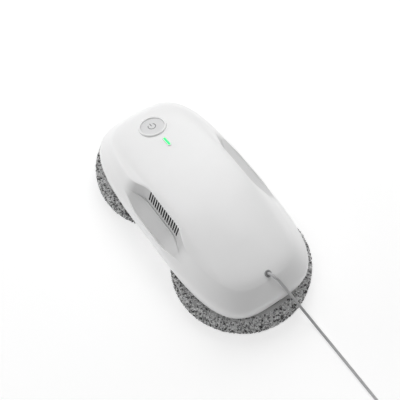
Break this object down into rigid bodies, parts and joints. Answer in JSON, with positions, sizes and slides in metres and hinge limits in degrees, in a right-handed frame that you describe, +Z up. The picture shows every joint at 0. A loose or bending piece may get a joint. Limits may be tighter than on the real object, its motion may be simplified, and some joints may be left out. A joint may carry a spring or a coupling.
{
  "type": "window cleaning robot",
  "caption": "Window cleaning robot with a rounded housing, side grip pockets with air slots, turning microfibre discs, a power button and a power lead.",
  "frame": {"origin": "middle of the footprint of the two pads, on the surface that the pads rest on", "axes": "+X along the length towards the power lead, +Z up out of the deck, +Y across"},
  "size_m": [0.4679, 0.147, 0.084],
  "materials": {
    "white_housing": "glossy injection moulding",
    "base_plastic": "fine matte moulding",
    "disc_plastic": "matte moulding",
    "hook_nylon": "woven hook tape",
    "microfibre": "curly salt-and-pepper microfibre pile",
    "seal_rubber": "soft moulded rubber",
    "bush_nylon": "self-lubricating moulding",
    "gear_nylon": "natural nylon",
    "pinion_brass": "machined",
    "motor_steel": "plated sheet and turned steel",
    "duct_plastic": "matte moulding",
    "cell_wrap": "shrink sleeve",
    "circuit_board": "solder mask",
    "button_cap": "satin moulding",
    "light_lens": "lit lens",
    "lead_grey": "soft cable sheath",
    "tie_fabric": "woven strap",
    "connector_black": "moulded over",
    "plug_metal": "plated"
  },
  "bodies": {
    "housing": {"top_shell": "white_housing", "base_shell": "base_plastic", "front_bush": "bush_nylon", "rear_bush": "bush_nylon", "front_gearmotor": "motor_steel", "rear_gearmotor": "motor_steel", "air_manifold": "duct_plastic", "fan_housing": "duct_plastic", "fan_cover": "duct_plastic", "fan_motor": "motor_steel", "battery_cradle": "duct_plastic", "battery_cells": "cell_wrap", "main_board": "circuit_board", "button_ring": "white_housing", "button_carrier": "base_plastic", "button_board": "circuit_board", "tact_switch": "duct_plastic", "status_bezel": "base_plastic", "status_lens": "light_lens", "status_board": "circuit_board", "cord_grommet": "lead_grey", "cord_clamp": "base_plastic", "supply_cord": "lead_grey", "cord_coil": "lead_grey", "cord_tie": "tie_fabric", "dc_connector": "connector_black", "dc_barrel": "plug_metal", "housing_screws": "motor_steel"},
    "front_disc_unit": {"front_disc": "disc_plastic", "front_hook": "hook_nylon", "front_pad": "microfibre", "front_seal": "seal_rubber", "front_ring_gear": "gear_nylon"},
    "rear_disc_unit": {"rear_disc": "disc_plastic", "rear_hook": "hook_nylon", "rear_pad": "microfibre", "rear_seal": "seal_rubber", "rear_ring_gear": "gear_nylon"},
    "front_pinion_unit": {"front_pinion": "pinion_brass"},
    "rear_pinion_unit": {"rear_pinion": "pinion_brass"},
    "fan_rotor": {"fan_impeller": "gear_nylon", "fan_shaft": "motor_steel"},
    "button": {"power_button": "button_cap", "switch_plunger": "duct_plastic"}
  },
  "joints": [
    {"name": "front_disc_spin", "type": "hinge", "parent": "housing", "child": "front_disc_unit", "pos_m": [-0.075, 0, 0.025], "axis": [0, 0, 1], "continuous": true},
    {"name": "rear_disc_spin", "type": "hinge", "parent": "housing", "child": "rear_disc_unit", "pos_m": [0.075, 0, 0.025], "axis": [0, 0, 1], "continuous": true},
    {"name": "front_pinion_spin", "type": "hinge", "parent": "housing", "child": "front_pinion_unit", "pos_m": [-0.09607, -0.0365, 0.032], "axis": [0, 0, 1], "continuous": true},
    {"name": "rear_pinion_spin", "type": "hinge", "parent": "housing", "child": "rear_pinion_unit", "pos_m": [0.09607, 0.0365, 0.032], "axis": [0, 0, 1], "continuous": true},
    {"name": "fan_spin", "type": "hinge", "parent": "housing", "child": "fan_rotor", "pos_m": [0, 0, 0.065], "axis": [0, 0, 1], "continuous": true},
    {"name": "button_press", "type": "slide", "parent": "housing", "child": "button", "axis": [0.2629, 0, -0.9648], "range_m": [0, 0.0012], "stiffness_N_per_m": 400, "springref_m": -0.002}
  ],
  "couplings": [
    {"joint": "front_pinion_spin", "follows": "front_disc_spin", "ratio": -4.25},
    {"joint": "rear_pinion_spin", "follows": "rear_disc_spin", "ratio": -4.25}
  ]
}
